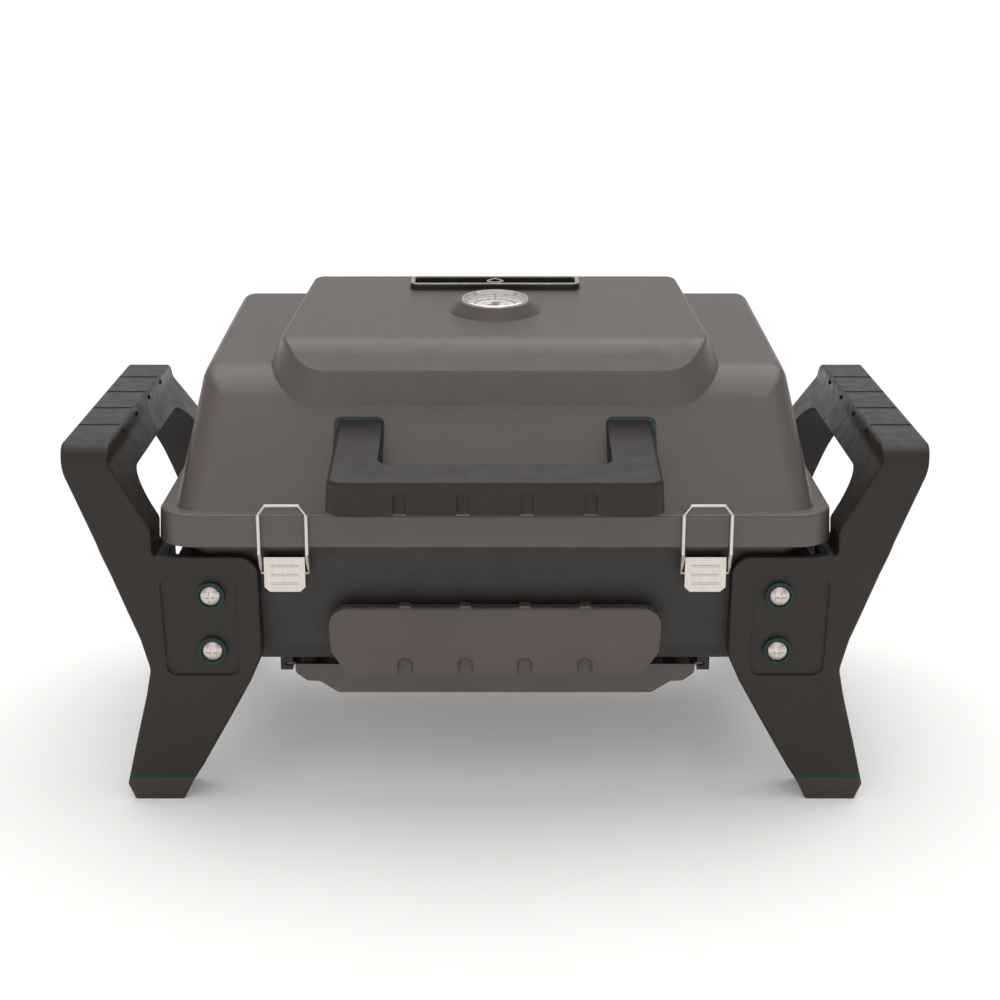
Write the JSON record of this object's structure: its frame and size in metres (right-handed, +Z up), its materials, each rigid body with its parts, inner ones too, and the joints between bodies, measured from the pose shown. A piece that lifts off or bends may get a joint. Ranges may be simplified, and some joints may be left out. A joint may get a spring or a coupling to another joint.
{
  "type": "portable tabletop gas grill",
  "caption": "Portable tabletop gas grill: hinged cast lid with handle and gauge, latched firebox on two splayed leg-and-grip frames, slide-out grease tray.",
  "frame": {"origin": "on the table, under the middle of the whole grill", "axes": "+Z up, +X to the right of someone standing at the lid handle, -Y towards them"},
  "size_m": [0.618, 0.3766, 0.3418],
  "materials": {
    "lid_cast": "painted satin",
    "firebox_cast": "painted matte",
    "frame_plastic": "fine grain",
    "foot_plastic": "fine grain",
    "teal_rubber": "satin",
    "pull_plastic": "satin",
    "tray_steel": "satin",
    "bright_steel": "brushed",
    "dark_steel": "blackened",
    "gauge_chrome": "polished",
    "gauge_glass": "clear",
    "dial_white": "printed",
    "pointer_red": "satin",
    "badge_black": "gloss",
    "badge_silver": "brushed",
    "cast_iron": "enamelled",
    "stainless": "heat stained",
    "brass": "machined",
    "black_plastic": "satin",
    "ceramic_white": "glazed"
  },
  "bodies": {
    "base": {"side_frame_left": "frame_plastic", "frame_screws_left": "bright_steel", "frame_washers_left": "teal_rubber", "hinge_pin_left": "bright_steel", "latch_base_left": "dark_steel", "latch_pin_left": "bright_steel", "tray_rail_left": "black_plastic", "foot_front_left": "foot_plastic", "foot_strip_front_left": "teal_rubber", "foot_rear_left": "foot_plastic", "foot_strip_rear_left": "teal_rubber", "side_frame_right": "frame_plastic", "frame_screws_right": "bright_steel", "frame_washers_right": "teal_rubber", "hinge_pin_right": "bright_steel", "latch_base_right": "dark_steel", "latch_pin_right": "bright_steel", "tray_rail_right": "black_plastic", "foot_front_right": "foot_plastic", "foot_strip_front_right": "teal_rubber", "foot_rear_right": "foot_plastic", "foot_strip_rear_right": "teal_rubber", "firebox": "firebox_cast", "burner_tube": "stainless", "burner_clip": "stainless", "heat_tent": "stainless", "gas_panel": "black_plastic", "regulator_block": "brass", "inlet_seal": "black_plastic", "igniter_body": "ceramic_white", "igniter_collar": "gauge_chrome"},
    "lid": {"lid_shell": "lid_cast", "lid_handle": "frame_plastic", "lid_handle_gasket_left": "teal_rubber", "lid_handle_gasket_right": "teal_rubber", "lid_handle_screw_left": "bright_steel", "lid_handle_screw_right": "bright_steel", "gauge_case": "gauge_chrome", "gauge_dial": "dial_white", "gauge_lens": "gauge_glass", "gauge_stem": "bright_steel", "gauge_nut": "bright_steel", "badge_base": "badge_black", "badge_face": "badge_silver"},
    "gauge_pointer": {"gauge_pointer": "pointer_red"},
    "tray": {"grease_tray": "tray_steel", "tray_pull": "pull_plastic", "tray_pull_screws": "bright_steel"},
    "grate": {"cooking_grate": "cast_iron"},
    "knob": {"control_knob": "black_plastic"},
    "button": {"igniter_button": "badge_black"},
    "lever_left": {"latch_lever_left": "bright_steel"},
    "bail_left": {"latch_bail_left": "bright_steel"},
    "lever_right": {"latch_lever_right": "bright_steel"},
    "bail_right": {"latch_bail_right": "bright_steel"}
  },
  "joints": [
    {"name": "lid_hinge", "type": "hinge", "parent": "base", "child": "lid", "pos_m": [0, 0.18075, 0.205], "axis": [-1, 0, 0], "range_deg": [0, 100]},
    {"name": "gauge_needle", "type": "hinge", "parent": "lid", "child": "gauge_pointer", "pos_m": [0, 0.03925, 0.33042], "axis": [0, 0.0718, -0.9974], "range_deg": [0, 270]},
    {"name": "tray_slide", "type": "slide", "parent": "base", "child": "tray", "axis": [0, -1, 0], "range_m": [0, 0.2]},
    {"name": "grate_lift", "type": "slide", "parent": "base", "child": "grate", "axis": [0, 0, 1], "range_m": [0, 0.03]},
    {"name": "knob_turn", "type": "hinge", "parent": "base", "child": "knob", "pos_m": [0.25, -0.03225, 0.15], "axis": [1, 0, 0], "range_deg": [0, 135]},
    {"name": "igniter_press", "type": "slide", "parent": "base", "child": "button", "axis": [-1, 0, 0], "range_m": [0, 0.004], "stiffness_N_per_m": 500},
    {"name": "latch_lever_left", "type": "hinge", "parent": "base", "child": "lever_left", "pos_m": [-0.1496, -0.14055, 0.1856], "axis": [-1, 0, 0], "range_deg": [0, 100]},
    {"name": "latch_bail_left", "type": "hinge", "parent": "lever_left", "child": "bail_left", "pos_m": [-0.1496, -0.14045, 0.1752], "axis": [-1, 0, 0], "range_deg": [-125, 0]},
    {"name": "latch_lever_right", "type": "hinge", "parent": "base", "child": "lever_right", "pos_m": [0.1496, -0.14055, 0.1856], "axis": [-1, 0, 0], "range_deg": [0, 100]},
    {"name": "latch_bail_right", "type": "hinge", "parent": "lever_right", "child": "bail_right", "pos_m": [0.1496, -0.14045, 0.1752], "axis": [-1, 0, 0], "range_deg": [-125, 0]}
  ],
  "couplings": [
    {"joint": "latch_bail_left", "follows": "latch_lever_left", "ratio": -1.25},
    {"joint": "latch_bail_right", "follows": "latch_lever_right", "ratio": -1.25}
  ]
}
